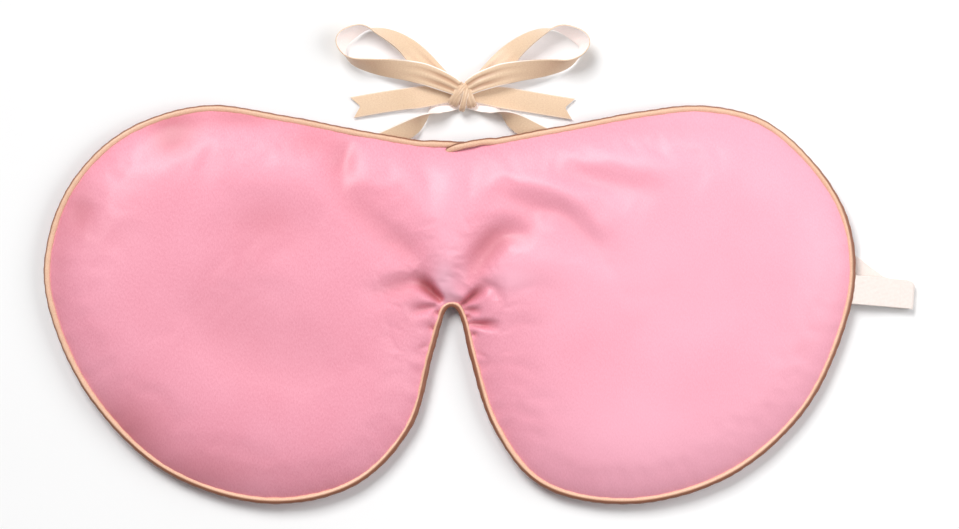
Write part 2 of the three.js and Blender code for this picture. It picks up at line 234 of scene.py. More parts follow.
def triangle_grid(spacing):
    """Points of a triangular grid over the whole mask, its rows a triangle's height apart."""
    low, high = SEAM.min(axis=0), SEAM.max(axis=0)
    xs = np.arange(low[0], high[0], spacing)
    ys = np.arange(low[1], high[1], spacing * 0.866)
    return np.array([(x + (0.5 * spacing if j % 2 else 0), y) for j, y in enumerate(ys) for x in xs])


# Rings of mesh points along the seam: how far in each lies, and the spacing of its points.
RINGS = ((PANEL_EDGE, 0.7), (1.2, 0.7), (2.1, 0.9), (3.2, 1.1), (4.6, 1.3))


def panel_mesh(spacing, notch_spacing):
    """A flat triangle mesh of the mask inside the seam, finer beside the notch: its points and faces."""
    rings = []
    for inset, step in RINGS:
        ring = respaced(SEAM, step, closed=True)
        along = directions(ring, closed=True)
        ring = ring + inset * np.stack([along[:, 1], -along[:, 0]], axis=1)
        if rings:
            ring = ring[np.hypot(*(ring - NOTCH_MIDDLE).T) > NOTCH_REACH]
        rings.append(ring)
    edge = rings[0]
    coarse = triangle_grid(spacing)
    coarse = coarse[np.hypot(*(coarse - NOTCH_MIDDLE).T) > NOTCH_REACH + 0.5 * notch_spacing]
    coarse = coarse[is_inside(coarse, edge)]
    coarse = coarse[seam_distance(coarse) > RINGS[-1][0] + 0.55 * spacing]
    fine = triangle_grid(notch_spacing)
    fine = fine[np.hypot(*(fine - NOTCH_MIDDLE).T) < NOTCH_REACH]
    fine = fine[is_inside(fine, edge)]
    fine = fine[seam_distance(fine) > PANEL_EDGE + 0.35]
    count = len(edge)
    border = [(i, (i + 1) % count) for i in range(count)]
    flat = np.vstack(rings + [coarse, fine])
    result = delaunay_2d_cdt([Vector(p) for p in flat], border, [], 1, 1e-5, False)
    points = np.array([tuple(v) for v in result[0]])
    faces = np.array([list(f) for f in result[2]])
    faces = faces[is_inside(points[faces].mean(axis=1), edge)]
    return points, faces.tolist()


# ---- The shape of the front ----

# Creases that fan out from the notch: the start and end of each, its half width at both and its depth.
CREASES = [
    ((-2.8, 0.9), (-9.9, 7.6), 1.0, 2.3, 3.6),
    ((2.0, -0.5), (9.3, 5.3), 0.7, 1.8, 2.5),
    ((-4.4, -0.3), (-11.4, -2.0), 0.7, 1.9, 1.4),
    ((2.6, -1.5), (7.6, -1.7), 0.6, 1.1, 1.9),
    ((3.4, -3.1), (4.9, -3.5), 0.6, 0.7, 2.4),
    ((4.0, -5.2), (12.6, -5.6), 0.6, 1.6, 2.2),
    ((5.0, -7.9), (6.6, -8.4), 0.6, 0.7, 1.9),
    ((-3.5, -1.9), (-4.9, -2.5), 0.6, 0.7, 2.2),
    ((-4.9, -6.1), (-6.3, -6.5), 0.6, 0.7, 1.9),
    ((-6.2, -11.0), (-9.2, -12.0), 0.6, 0.9, 0.6),
    ((6.4, -13.0), (9.8, -14.6), 0.6, 0.9, 0.6),
]

# Long soft folds: the points each follows, its half width and its depth. A negative depth is a ridge.
FOLDS = [
    ([(-0.2, 0.5), (-0.6, 3), (-1.2, 8), (-1.6, 15)], 3.2, -0.9),
    ([(-1.2, 6.0), (-1.6, 14), (-1.2, 26), (-1, 38)], 4.6, -1.2),
    ([(3.4, 6.0), (5.8, 10.2), (9.2, 15), (13.4, 19.2), (20, 20)], 3.4, 2.6),
    ([(8.6, 6.0), (11.2, 4.4), (12.4, 1.2)], 1.7, 1.0),
    ([(11, 7.5), (18, 11), (26, 11), (34, 8)], 5.0, -0.7),
    ([(13, 29.5), (22.4, 26.4), (30.3, 24.0), (35.5, 18.6), (41.5, 12.4)], 3.4, 1.4),
    ([(15, 34), (26, 31.5), (35, 27.5)], 3.0, -0.7),
    ([(29.6, 36.6), (40.1, 33.3), (54.5, 31.1)], 3.2, 1.0),
    ([(36, 41), (50, 38), (64, 37)], 3.6, -0.4),
    ([(-8.5, 7.2), (-13, 5.6), (-20, 3.2)], 2.8, 1.5),
    ([(-9, 11.0), (-13.4, 15.5), (-18, 19)], 3.4, 1.1),
    ([(-14.3, 15.5), (-21, 22), (-27.9, 29.5), (-29.4, 42)], 4.6, 1.2),
    ([(-28.4, 44), (-29.6, 39), (-31, 34)], 3.0, 1.4),
    ([(-82, 41.6), (-76, 44.7), (-70, 46)], 3.2, 0.6),
    ([(-103.5, 20.5), (-100.5, 24.5), (-97.5, 28)], 3.4, 0.8),
    ([(-60, 20), (-46, 23), (-36, 18)], 7.0, 0.7),
    ([(-72, -4), (-52, -12), (-30, -18)], 10.0, 0.8),
    ([(48, -6), (62, 0), (78, 2)], 10.0, 0.5),
    ([(-4, 13), (-8, 26), (-14, 38)], 3.4, -0.6),
]

# Patches of painted shade on the satin: the middle, both radii and the strength.
# A negative strength is a patch of painted light.
SHADE_AND_LIGHT_PATCHES = [
    ((-75, 49.5), (8, 3.4), 0.50), ((-76, 44.4), (5.6, 4.2), 0.46), ((-57.5, 50.6), (9, 2.6), 0.44),
    ((-38, 44), (8, 4), 0.30), ((-101, 26), (5, 9), 0.36), ((-106, 12), (3, 12), 0.24),
    ((-91, 20), (9, 6), 0.10), ((-90, -34), (13, 10), 0.58), ((-70, -46), (20, 7), 0.42),
    ((-30, -50), (14, 5), 0.18), ((-52, 22), (10, 7), 0.12), ((60, 47), (14, 3), 0.16),
    ((-12, 3.5), (7, 4), 0.14), ((8.6, 14), (3.4, 6), 0.20), ((12.6, 17.4), (4.6, 4), 0.24),
    ((20, 16.5), (4, 3), 0.16), ((-56, 4), (14, 10), 0.10), ((-2.2, 5.6), (3.2, 5), -0.9),
    ((-0.6, 2.2), (3, 1.5), -0.6), ((2.6, 9), (1.6, 5), -0.3), ((16, 7), (6, 4), -0.5),
    ((52, 6), (26, 16), -0.30), ((46, -34), (24, 14), -0.34),
]


def crease_depth(points, start, end, narrow, wide, depth):
    """How much one crease takes off the height at each point."""
    start = np.array(start, float)
    route = np.array(end, float) - start
    length = np.linalg.norm(route)
    away = points[:, :2] - start
    along = away @ route / length
    across = (away[:, 1] * route[0] - away[:, 0] * route[1]) / length
    share = np.clip(along / length, 0, 1)
    width = narrow + (wide - narrow) * share
    fade = smooth_step((along + 0.8) / 1.6) * (1 - smooth_step((along / length - 0.45) / 0.75))
    return depth * fade * np.exp(-np.abs(across / width) ** 2.2)


def fold_depth(points, route, width, depth):
    """How much one soft fold takes off the height at each point."""
    line = catmull_rom(route, 12)
    gaps = np.linalg.norm(points[:, None, :2] - line[None], axis=2)
    nearest = gaps.argmin(axis=1)
    share = nearest / (len(line) - 1)
    fade = np.sin(math.pi * np.clip(share * 0.9 + 0.05, 0, 1)) ** 0.6
    return depth * fade * np.exp(-((gaps.min(axis=1) / width) ** 2))


def rim_ripple(points, distance):
    """Small puckers that the seam draws into the cloth beside the piping, stronger along the notch."""
    lobe = np.sign(points[:, 0]) * 50
    angle = np.arctan2(points[:, 1], points[:, 0] - lobe)
    notch = np.exp(-(np.hypot(points[:, 0], points[:, 1] + 14) / 26) ** 2)
    waves = np.sin(41 * angle + 2 * np.sin(5 * angle)) + 0.6 * np.sin(67 * angle + 1.3)
    return (0.06 + 0.10 * notch) * waves * np.exp(-((distance - 2.2) / 2.4) ** 2)


def front_shape(points):
    """The front's height at each point, and from 0 to 1 how much painted shade and how much painted light
    the cloth carries there.
    """
    distance = seam_distance(points)
    inward = distance - PANEL_EDGE
    dip = 1 - BRIDGE_DIP * np.exp(-((points[:, 0] / BRIDGE_DIP_WIDTH) ** 2))
    roll = CROWN_ROLL * (1 + NOTCH_ROLL * spot(points, NOTCH_MIDDLE, (4, 7)))
    rise = 1 - np.exp(-np.maximum(inward, 0) / roll)
    height = SEAM_Z + FRONT_LIFT + CROWN * dip * rise
    height += NOTCH_PUFF * spot(points, (0, 3), (15, 12)) * smooth_step(inward / 3.2)
    creased = sum(crease_depth(points, *row) for row in CREASES)
    folded = sum(fold_depth(points, *row) for row in FOLDS)
    # Creases and folds grow shallow towards the edge, and stay above the back's edge.
    room = np.clip((height - SEAM_Z + 0.6) / 3.4, 0, 1)
    taken = np.minimum((creased + folded) * room, height - SEAM_Z + BACK_DROP)
    painted_patches = sum(strength * spot(points, middle, radii) for middle, radii, strength in SHADE_AND_LIGHT_PATCHES)
    # Painted shade: darker in the creases, in the folds' hollows and in the positive patches.
    fold = np.clip(creased / 2.6, 0, 1) ** 1.3 + 0.17 * np.clip(folded, 0, 2) + np.maximum(painted_patches, 0)
    # Painted light: paler along the ridges, towards the right of the mask and in the negative patches,
    # except in the creases.
    ridge_highlight = 0.22 * np.clip(-folded, 0, 1.4)
    right_lobe_light = 0.34 * smooth_step((points[:, 0] + 10) / 100)
    painted_light = (ridge_highlight + right_lobe_light - np.minimum(painted_patches, 0)) * (1 - np.clip(creased, 0, 1))
    shares = {"fold": np.clip(fold, 0, 1), "pale_and_highlight": np.clip(painted_light, 0, 1)}
    return height - taken + rim_ripple(points, distance), shares


def back_height(points):
    """The back's height at each point: flat on the table, higher over the strap and at the seam."""
    share = (points[:, 1] - STRAP_ROOM_BOTTOM) / (STRAP_ROOM_TOP - STRAP_ROOM_BOTTOM)
    belly = STRAP_ROOM * smooth_step(share)
    distance = seam_distance(points)
    rim = 1 - np.minimum(distance / BELLY_ROLL, 1)
    lift = (SEAM_Z - BACK_DROP - belly) * rim ** 3
    return belly + lift + 0.6 * rim_ripple(points, distance) * (rim > 0)


# ---- Materials ----


def node_material(name):
    """A new material with its node tree and its shader."""
    material = bpy.data.materials.new(name)
    material.use_nodes = True
    tree = material.node_tree
    shader = tree.nodes["Principled BSDF"]
    return material, tree, shader


def add(tree, kind, **values):
    """A node, with its properties and the values of its input sockets."""
    node = tree.nodes.new(kind)
    for key, value in values.items():
        if hasattr(node, key):
            setattr(node, key, value)
        else:
            node.inputs[key.replace("_", " ")].default_value = value
    return node


def ramp(tree, source, stops):
    """A colour ramp on a source, from places and colours."""
    node = tree.nodes.new("ShaderNodeValToRGB")
    elements = node.color_ramp.elements
    while len(elements) < len(stops):
        elements.new(0.5)
    for element, (place, colour) in zip(elements, stops):
        element.position = place
        element.color = (*colour, 1)
    tree.links.new(source, node.inputs["Fac"])
    return node


def multiply_uv(tree, scale, turn=0.0):
    """The cloth's own coordinates, in millimetres times scale, turned by some degrees."""
    uv = add(tree, "ShaderNodeUVMap", uv_map="cloth")
    mapping = tree.nodes.new("ShaderNodeMapping")
    mapping.inputs["Scale"].default_value = (scale[0], scale[1], 1)
    mapping.inputs["Rotation"].default_value = (0, 0, math.radians(turn))
    tree.links.new(uv.outputs["UV"], mapping.inputs["Vector"])
    return mapping.outputs["Vector"]


def satin(name, light, dark, deep, roughness=0.38, grain=1.0, turn=45, pale_and_highlight=(1, 1, 1), painted_glow=0.0):
    """Satin: long floating threads with a fine twill, a soft shine and slight colour changes.

    deep is the colour of painted shade, mixed in by the mesh's share of painted shade. The next colour is
    paler and is mixed in by the mesh's share of paleness: painted light on the front, and a paler selvedge
    with a painted highlight on the ribbons.
    grain makes the weave finer, turn is the twill's angle in degrees, and the glow is painted light, an
    emission in the cloth's light colour that stands for the light that comes through a thin pale cloth.
    """
    material, tree, shader = node_material(name)
    link = tree.links.new
    patches = add(tree, "ShaderNodeTexNoise", Scale=0.05, Detail=2.0, Roughness=0.5)
    link(multiply_uv(tree, (1, 1)), patches.inputs["Vector"])
    speckle = add(tree, "ShaderNodeTexNoise", Scale=2.6 * grain, Detail=2.0, Roughness=0.7)
    link(multiply_uv(tree, (1.0, 0.55), turn), speckle.inputs["Vector"])
    tone = add(tree, "ShaderNodeMix", data_type="FLOAT")
    tone.inputs["Factor"].default_value = 0.72
    link(patches.outputs["Fac"], tone.inputs["A"])
    link(speckle.outputs["Fac"], tone.inputs["B"])
    colour = ramp(tree, tone.outputs["Result"], [(0.37, dark), (0.63, light)]).outputs["Color"]
    # Painted shade and painted light: the shade colour and the paler colour are mixed over the tone by the
    # mesh's shares.
    for key, other in (("fold", deep), ("pale_and_highlight", pale_and_highlight)):
        share = add(tree, "ShaderNodeAttribute", attribute_name=key)
        mixed = add(tree, "ShaderNodeMix", data_type="RGBA")
        link(share.outputs["Fac"], mixed.inputs["Factor"])
        under, over = [socket for socket in mixed.inputs if socket.type == "RGBA"]
        link(colour, under)
        over.default_value = (*other, 1)
        colour = next(socket for socket in mixed.outputs if socket.type == "RGBA")
    link(colour, shader.inputs["Base Color"])
    threads = add(tree, "ShaderNodeTexWave", Scale=1.0, Distortion=0.8)
    threads.inputs["Detail"].default_value = 2.0
    link(multiply_uv(tree, (0.62 * grain, 0.62 * grain), turn), threads.inputs["Vector"])
    weave = add(tree, "ShaderNodeBump", Strength=0.12, Distance=0.00006)
    link(threads.outputs["Fac"], weave.inputs["Height"])
    bump = add(tree, "ShaderNodeBump", Strength=0.20, Distance=0.00008)
    link(speckle.outputs["Fac"], bump.inputs["Height"])
    link(weave.outputs["Normal"], bump.inputs["Normal"])
    link(bump.outputs["Normal"], shader.inputs["Normal"])
    gloss = add(tree, "ShaderNodeMapRange")
    gloss.inputs["To Min"].default_value = roughness - 0.05
    gloss.inputs["To Max"].default_value = roughness + 0.07
    link(speckle.outputs["Fac"], gloss.inputs["Value"])
    link(gloss.outputs["Result"], shader.inputs["Roughness"])
    # Painted light: the cloth glows in its light colour, though it is no lamp.
    shader.inputs["Emission Color"].default_value = (*light, 1)
    shader.inputs["Emission Strength"].default_value = painted_glow
    shader.inputs["Sheen Weight"].default_value = 0.12
    shader.inputs["Sheen Roughness"].default_value = 0.4
    shader.inputs["Sheen Tint"].default_value = (*light, 1)
    shader.inputs["Anisotropic"].default_value = 0.4
    shader.inputs["Specular IOR Level"].default_value = 0.4
    return material


def elastic_cloth(name, light, dark):
    """Ribbed elastic: cords run along it, with fine picks across them."""
    material, tree, shader = node_material(name)
    link = tree.links.new
    ribs = add(tree, "ShaderNodeTexWave", Scale=1.0, bands_direction="X")
    link(multiply_uv(tree, (0.9, 0)), ribs.inputs["Vector"])
    picks = add(tree, "ShaderNodeTexWave", Scale=1.0, bands_direction="Y")
    link(multiply_uv(tree, (0, 1.6)), picks.inputs["Vector"])
    noise = add(tree, "ShaderNodeTexNoise", Scale=1.2, Detail=4.0)
    link(multiply_uv(tree, (1, 1)), noise.inputs["Vector"])
    colour = ramp(tree, noise.outputs["Fac"], [(0.3, dark), (0.7, light)])
    link(colour.outputs["Color"], shader.inputs["Base Color"])
    first = add(tree, "ShaderNodeBump", Strength=0.35, Distance=0.00012)
    link(ribs.outputs["Fac"], first.inputs["Height"])
    second = add(tree, "ShaderNodeBump", Strength=0.30, Distance=0.00008)
    link(picks.outputs["Fac"], second.inputs["Height"])
    link(first.outputs["Normal"], second.inputs["Normal"])
    link(second.outputs["Normal"], shader.inputs["Normal"])
    shader.inputs["Roughness"].default_value = 0.62
    shader.inputs["Sheen Weight"].default_value = 0.3
    return material


def plain_floor():
    """White paper with a very slight mottle."""
    material, tree, shader = node_material("floor_paper")
    noise = add(tree, "ShaderNodeTexNoise", Scale=40.0, Detail=3.0)
    colour = ramp(tree, noise.outputs["Fac"], [(0.3, (0.90, 0.90, 0.90)), (0.7, (0.93, 0.93, 0.93))])
    tree.links.new(colour.outputs["Color"], shader.inputs["Base Color"])
    shader.inputs["Roughness"].default_value = 0.9
    return material


# Each satin's third colour is painted shade, for creases, pleats and the piping's sides. Its paler colour
# is painted light on the front and a selvedge with a painted highlight on the ribbons, and its glow is
# painted light.
PINK = satin("satin_pink", (0.93, 0.40, 0.505), (0.84, 0.31, 0.40), (0.54, 0.155, 0.18),
             pale_and_highlight=(1.0, 0.52, 0.64))
PEACH = satin("satin_peach", (0.87, 0.58, 0.41), (0.75, 0.45, 0.30), (0.27, 0.105, 0.06), 0.4, grain=1.4)
CHAMPAGNE = satin("ribbon_champagne", (0.79, 0.59, 0.41), (0.70, 0.485, 0.325), (0.36, 0.16, 0.09),
                  grain=1.4, turn=0, pale_and_highlight=(1.0, 0.93, 0.88), painted_glow=0.07)
CREAM = satin("ribbon_cream", (1.0, 0.91, 0.875), (0.97, 0.83, 0.795), (0.60, 0.42, 0.36), 0.42,
              grain=1.4, turn=0, pale_and_highlight=(1.0, 0.95, 0.92), painted_glow=0.12)
ELASTIC = elastic_cloth("elastic_cream", (0.92, 0.82, 0.77), (0.87, 0.765, 0.71))

# ---- The padded mask ----


def panel(name, points, faces, heights, nodes, upward, shares=None):
    """One panel of the mask: a satin sheet whose faces look up or down."""
    sheet = np.column_stack([points, heights])
    a, b, c = sheet[faces[0]]
    if (np.cross(b - a, c - a)[2] > 0) != upward:
        faces = [face[::-1] for face in faces]
    obj = make_mesh(name, sheet, faces, uvs=points, shares=shares)
    obj.data.materials.append(PINK)
    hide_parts(*nodes)
    return obj


def across_fold(obj):
    """Bakes the piece's placement into its mesh."""
    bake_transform(obj)


def both(name):
    """The names of a layer's two halves."""
    return [f"{name}_left", f"{name}_right"]


SETTLE_FRAMES = 20
CLOTH_GROWTH = 0.004  # the cloth is cut larger than the shape by this share
SETTLE_MOST = 0.4  # no point of the cloth moves further than this as it settles


def settle(obj, free):
    """A cloth simulation lets the cut cloth billow over its filling.

    free says how loose each point is, from 0 where the seam or a crease holds it to 1.
    """
    before = np.array([vertex.co[:] for vertex in obj.data.vertices])
    held = obj.vertex_groups.new(name="held")
    for index, share in enumerate(free):
        held.add([index], 1 - float(share), "REPLACE")
    cloth = obj.modifiers.new("settle", "CLOTH")
    settings = cloth.settings
    settings.vertex_group_mass = "held"
    settings.quality = 5
    settings.mass = 0.05
    settings.air_damping = 2
    settings.bending_stiffness = 0.05
    settings.shrink_min = -CLOTH_GROWTH
    settings.use_pressure = True
    settings.uniform_pressure_force = 4
    settings.effector_weights.gravity = 0
    cloth.collision_settings.use_collision = False
    for step in range(1, SETTLE_FRAMES + 1):
        bpy.context.scene.frame_set(step)
    settled = obj.evaluated_get(bpy.context.evaluated_depsgraph_get())
    move = (np.array([vertex.co[:] for vertex in settled.to_mesh().vertices]) - before) / MM
    settled.to_mesh_clear()
    obj.modifiers.remove(cloth)
    obj.vertex_groups.remove(held)
    bpy.context.scene.frame_set(1)
    size = np.linalg.norm(move, axis=1)
    kept = SETTLE_MOST * np.tanh(size / SETTLE_MOST) / np.maximum(size, 1e-9)
    for vertex, place in zip(obj.data.vertices, before + move * kept[:, None] * MM):
        vertex.co = Vector(place)


def padded_mask():
    """The front and the back, which meet inside the piping. The front stands for what it closes in."""
    points, faces = panel_mesh(1.5, 0.6)
    heights, shares = front_shape(points)
    front = panel("front_panel_satin", points, faces, heights,
                  both("front_panel") + both("wadding") + both("blackout_lining"), True, shares)
    back = panel("back_panel_satin", points, faces, back_height(points), both("back_panel"),
                 False)
    loose = smooth_step((seam_distance(points) - 2) / 8)
    settle(front, loose * (1 - np.clip(1.5 * shares["fold"], 0, 1)))
    across_fold(front)
    across_fold(back)


# ---- Piping ----


def tube(name, line, radius, shade_from, sides=24):
    """A tube along a line. Its radius may vary along it, and painted shade makes its two sides darker than
    its top.

    The third argument says, for each point, how many degrees outward from the top the painted shade on its
    outer side starts.
    """
    along = directions(line)
    count = len(line)
    radius = np.broadcast_to(radius, (count,))
    flat = np.cross(along, (0, 0, 1.0))
    flat /= np.linalg.norm(flat, axis=1)[:, None]
    lift = np.cross(flat, along)
    angle = np.linspace(0, 2 * math.pi, sides, endpoint=False)
    aside = radius[:, None, None] * np.cos(angle)[None, :, None] * flat[:, None]
    above = radius[:, None, None] * np.sin(angle)[None, :, None] * lift[:, None]
    points = (line[:, None] + aside + above).reshape(-1, 3)
    length = length_along(line)
    uvs = np.stack([np.tile(angle * radius.mean(), count), np.repeat(length, sides)], axis=1)
    # Painted shade on both sides of the tube: broad on the outer side and a narrower band on the inner
    # side.
    outward = (np.degrees(angle) - 90)[None]
    outer = smooth_step((outward - shade_from[:, None]) / 18)
    inner = 0.8 * smooth_step((-outward - 56) / 22)
    dark = np.maximum(outer, inner).ravel()
    faces = []
    for ring in range(count - 1):
        here = ring * sides
        after = here + sides
        for side in range(sides):
            beside = (side + 1) % sides
            faces.append((here + side, here + beside, after + beside, after + side))
    faces.append(tuple(range(sides))[::-1])
    faces.append(tuple((count - 1) * sides + side for side in range(sides)))
    return face_outward(make_mesh(name, points, faces, uvs=uvs, shares={"fold": dark}))


PIPING_STEP = 0.9  # the spacing of the rings of points along the piping
RIGHT_OPEN = 12  # the loop's first points, in place of which the right end is laid
LEFT_OPEN = 8  # and its last points, in place of which the left end is laid


def piping_route():
    """Once round the seam with a slow wave. The right end crosses over the left one at the top middle."""
    loop = SEAM[::2]
    line = np.column_stack([loop, np.full(len(loop), SEAM_Z)])
    line[:, 2] += 0.25 * np.sin(line[:, 0] / 9.0) * np.exp(-((line[:, 1] + 20) / 40) ** 2)
    right_end = catmull_rom([
        (-1.9, 41.4, SEAM_Z + 0.2), (0.4, 42.4, SEAM_Z + 1.0), (4.0, 43.3, SEAM_Z + 1.2),
        (8.5, 44.1, SEAM_Z + 0.5), tuple(line[RIGHT_OPEN]),
    ], 6)
    left_end = catmull_rom([
        tuple(line[-LEFT_OPEN - 1]), (-3.0, 43.5, SEAM_Z), (1.5, 43.3, SEAM_Z - 0.5),
        (6.5, 43.2, SEAM_Z - 1.2),
    ], 6)
    return respaced(np.vstack([right_end[:-1], line[RIGHT_OPEN:-LEFT_OPEN], left_end[1:]]), PIPING_STEP)


def piping():
    """One length of piping round the whole edge, slightly uneven, and thinner at the notch."""
    route = piping_route()
    run = np.arange(len(route)) * PIPING_STEP
    uneven = 0.05 * np.sin(run * 1.7 + 1.4 * np.sin(run * 0.31)) + 0.03 * np.sin(run * 0.53)
    radius = PIPING_RADIUS * (1 + uneven)
    radius *= 1 - 0.16 * np.exp(-(np.hypot(route[:, 0], route[:, 1]) / 9) ** 2)
    radius[:4] *= (0.55, 0.8, 0.93, 0.98)
    # Painted shade: its outer side is darker where it faces down and to the right, away from the key light,
    # and inside the notch.
    along = directions(route)
    facing = -along[:, 1] * 0.55 - along[:, 0] * 0.83
    gap = np.exp(-(route[:, 0] / 14) ** 2) * smooth_step((20 - route[:, 1]) / 20)
    lower_right = np.maximum(smooth_step((facing + 0.35) / 0.9), gap)
    obj = tube("piping", route, radius, 26 - 34 * lower_right - 16 * gap)
    obj.data.materials.append(PEACH)
    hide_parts(*both("piping_cover"), *both("piping_cord"))
    across_fold(obj)


# ---- Bands ----

# Where the points across a band lie, from its first edge to its second, and where its two edges begin.
EDGE_SHARES = (
    -0.5, -0.468, -0.44, -0.34, -0.24, -0.14, -0.05, 0.05, 0.14, 0.24, 0.34, 0.44, 0.468, 0.5,
)
SELVEDGE_FROM = 0.467


def band(name, middle, across, width, thick, materials, dish=0.0, pleats=0.0, pale_and_highlight=(0.35, 0.35)):
    """A flat band. Across points from its first edge to its second.

    dish bows its section and pleats ripples it, with painted shade in the pleats' troughs. Either may vary
    along it, and so may the paleness of its two edges, given by the last argument: a paler selvedge with a
    painted highlight. The first material is the outer face's and the second the reverse's.
    """
    middle = np.array(middle, float)
    across = np.array(across, float)
    count = len(middle)
    share = np.array(EDGE_SHARES)
    rows = len(share)

    def each(value):
        return np.broadcast_to(np.atleast_1d(value), (count,)).astype(float)[:, None]

    along = directions(middle)
    normal = np.cross(along, across)
    normal /= np.linalg.norm(normal, axis=1)[:, None]
    length = length_along(middle)
    ripple = np.cos(5 * math.pi * share) * (1 - (2 * share) ** 4)
    lift = each(dish) * (1 - (2 * share) ** 2)[None] + each(pleats) * ripple[None]
    sheet = middle[:, None] + across[:, None] * (each(width) * share[None])[:, :, None]
    sheet = sheet + normal[:, None] * lift[:, :, None]
    points = np.vstack([(sheet + normal[:, None] * thick / 2).reshape(-1, 3),
                        (sheet - normal[:, None] * thick / 2).reshape(-1, 3)])
    uv = np.stack([(each(width) * share[None]).ravel(), np.repeat(length, rows)], axis=1)
    # Painted shade in the pleats' troughs.
    deep = (np.clip(each(pleats) / 0.30, 0, 1) * np.clip(-ripple, 0, 1)[None] ** 1.2).ravel()
    # Paler edges: a selvedge with a painted highlight.
    first_edge = each(pale_and_highlight[0]) * (share <= -SELVEDGE_FROM)[None]
    second_edge = each(pale_and_highlight[1]) * (share >= SELVEDGE_FROM)[None]
    light = (first_edge + second_edge).ravel()
    below = count * rows
    faces = []
    slots = []
    for i in range(count - 1):
        for j in range(rows - 1):
            a, b = i * rows + j, i * rows + j + 1
            c, d = b + rows, a + rows
            faces += [(a, b, c, d), (below + a, below + d, below + c, below + b)]
            slots += [0, 1]
        for j in (0, rows - 1):
            a, d = i * rows + j, (i + 1) * rows + j
            faces.append((a, d, below + d, below + a))
            slots.append(0)
    for i in (0, count - 1):
        for j in range(rows - 1):
            a, b = i * rows + j, i * rows + j + 1
            faces.append((a, below + a, below + b, b))
            slots.append(0)
    shares = {"fold": np.tile(deep, 2), "pale_and_highlight": np.tile(light, 2)}
    obj = make_mesh(name, points, faces, uvs=np.vstack([uv, uv]), shares=shares)
    for material in materials:
        obj.data.materials.append(material)
    if len(materials) > 1:
        obj.data.polygons.foreach_set("material_index", slots)
    ends = {k * below + i * rows + j for k in (0, 1) for i in (0, count - 1) for j in range(rows)}
    for edge in obj.data.edges:
        edge.use_edge_sharp = set(edge.vertices) <= ends
    return face_outward(obj)


def polar(degrees):
    """The level direction with this bearing, counted from the x axis."""
    angle = math.radians(degrees)
    return np.array([math.cos(angle), math.sin(angle), 0.0])


def rolled_ribbon(route, steps=8):
    """The middle line, across directions, widths and pleats of a ribbon from its rows.

    A row holds x, y, z, the roll in degrees, the width and, where there are any, the depth of the pleats.
    """
    fine = catmull_rom([tuple(row) + (0.0,) * (6 - len(row)) for row in route], steps)
    middle = fine[:, :3]
    along = directions(middle)
    level = np.cross((0, 0, 1.0), along)
    level /= np.linalg.norm(level, axis=1)[:, None]
    up = np.cross(along, level)
    roll = np.radians(fine[:, 3])[:, None]
    return middle, np.cos(roll) * level + np.sin(roll) * up, fine[:, 4], np.maximum(fine[:, 5], 0)


RIBBON_WIDTH = 5.8
RIBBON_THICK = 0.32
ELASTIC_WIDTH = 7.8
ELASTIC_THICK = 0.75
UNDER_Z = 0.4  # the height of the elastics' middle lines under the mask
TAB_FOLD = np.array([124.2, 2.7, 0.0])  # where the right elastic folds over
TAB_BEARING = -5
TAB_FOLD_BEARING = 85
TAB_TOP_Z = 2.12  # the height of the tab's upper layer at the fold
FOLD_RADIUS = 0.85
CORNER_RADIUS = 1.9
SEAM_END_FROM = 108.2  # the right elastic's sewn-in end, along the x axis
SEAM_END_TO = 121.5
SEAM_END_Z = 3.3  # its height in the seam
SEAM_END_DROP = 1.15  # and how far it comes down on its way out
RIGHT_BEARING = 157
RIGHT_RUN = 60  # from the tab's fold to the right elastic's end under the mask
LEFT_BEARING = 24.5
LEFT_START = np.array([-108.5, 4.6, UNDER_Z])
LEFT_RISE = 2.4  # in the seam, the left elastic is this much higher
LEFT_END = -52
ELASTIC_LAP = 10  # a leg starts this far before the end of its elastic


